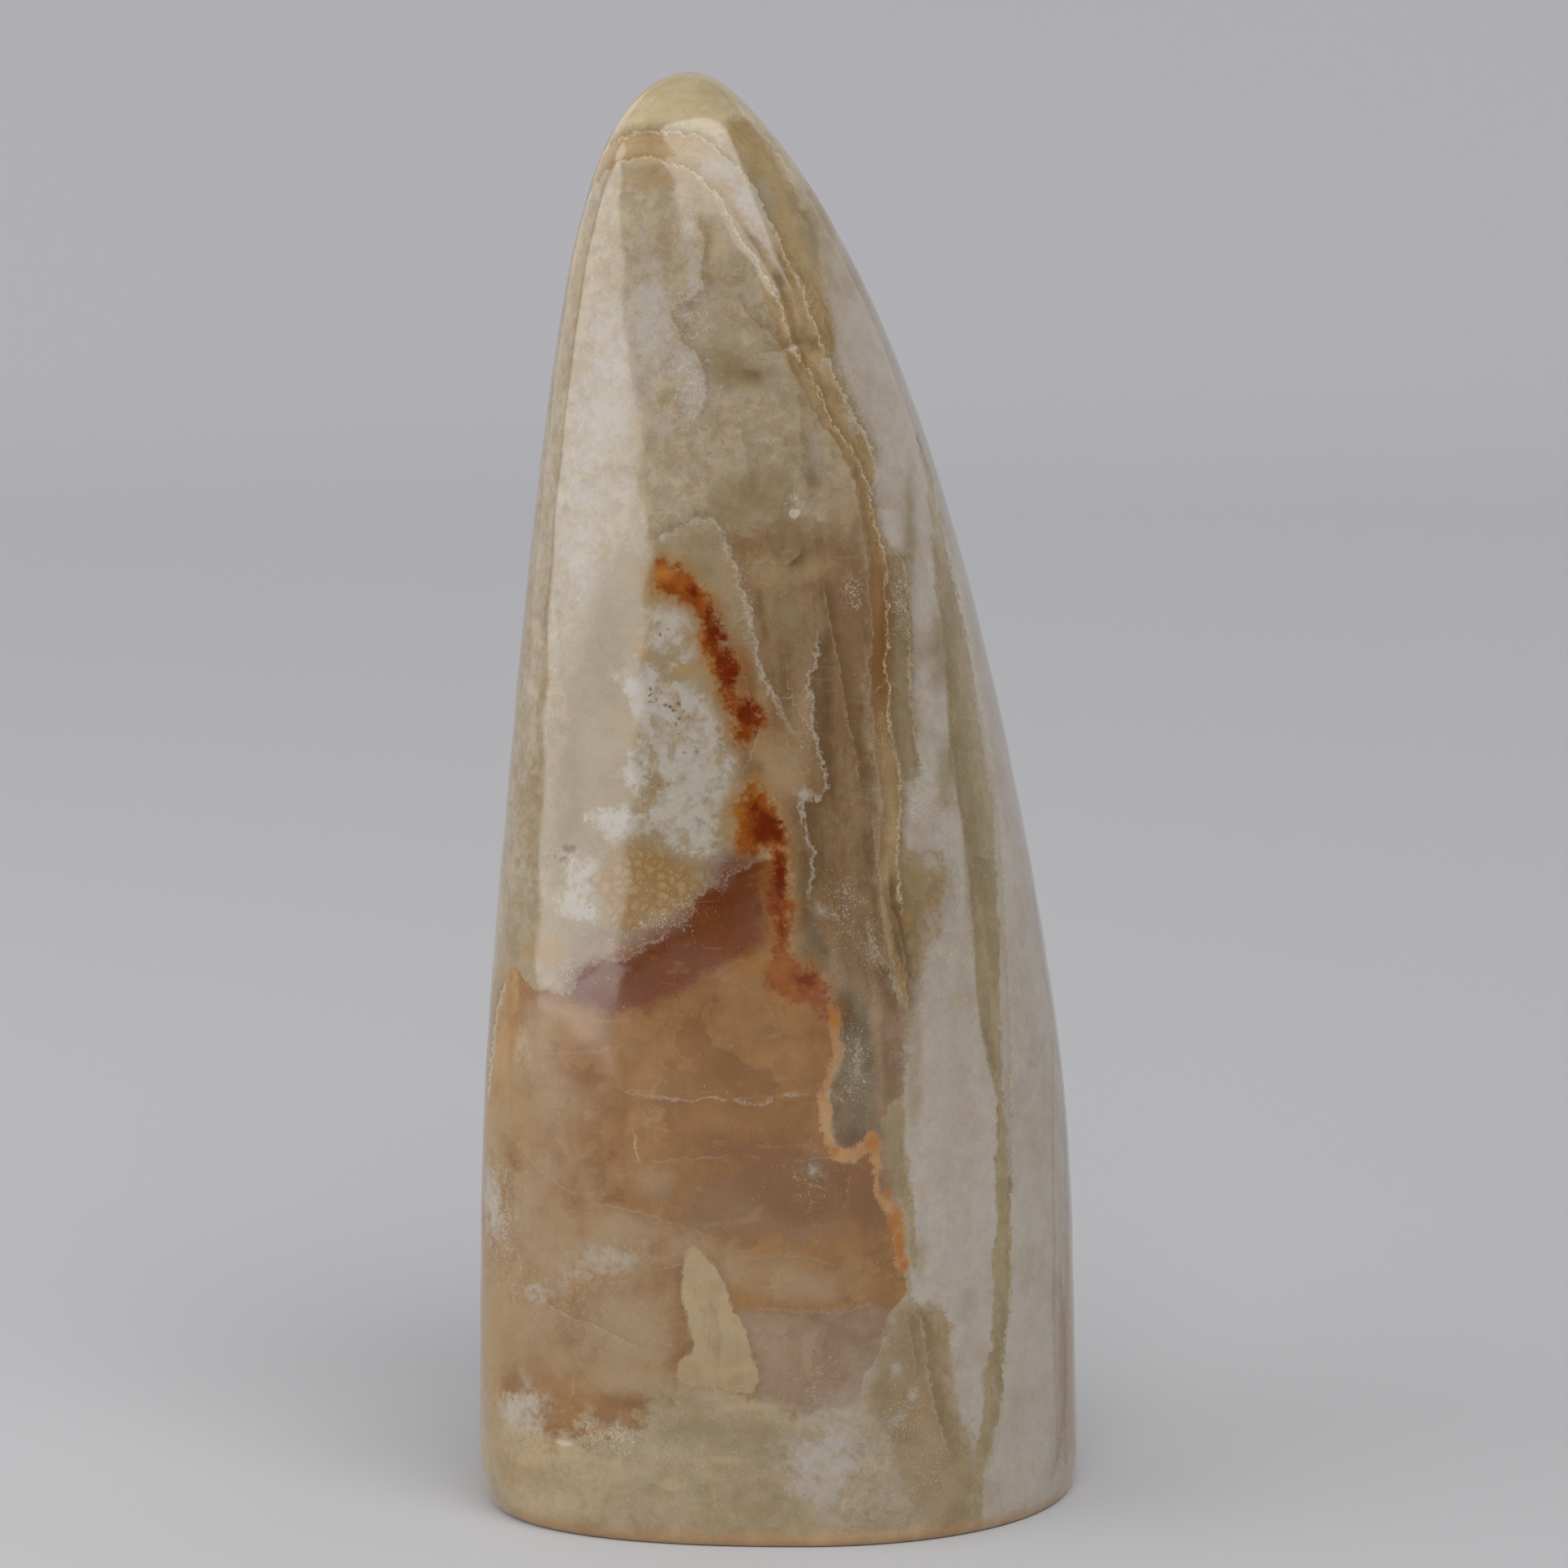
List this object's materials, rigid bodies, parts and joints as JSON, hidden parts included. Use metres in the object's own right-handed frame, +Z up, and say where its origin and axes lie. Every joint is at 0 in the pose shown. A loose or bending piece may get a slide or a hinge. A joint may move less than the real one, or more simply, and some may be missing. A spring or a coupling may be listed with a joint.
{
  "type": "polished aragonite freeform",
  "caption": "Polished banded aragonite freeform: a leaning, flame-shaped display stone that stands on a flat sawn foot.",
  "frame": {"origin": "middle of the stone's box, on the plane of its flat foot", "axes": "+Z up along the stone, -Y out of the broad show face, +X towards the banded right flank"},
  "size_m": [0.0638, 0.05, 0.15],
  "materials": {
    "banded_aragonite": "polished banded stone: cream, tan and olive layers, a white spotted patch and rust-red stain"
  },
  "bodies": {
    "root": {"stone": "banded_aragonite"}
  },
  "joints": []
}
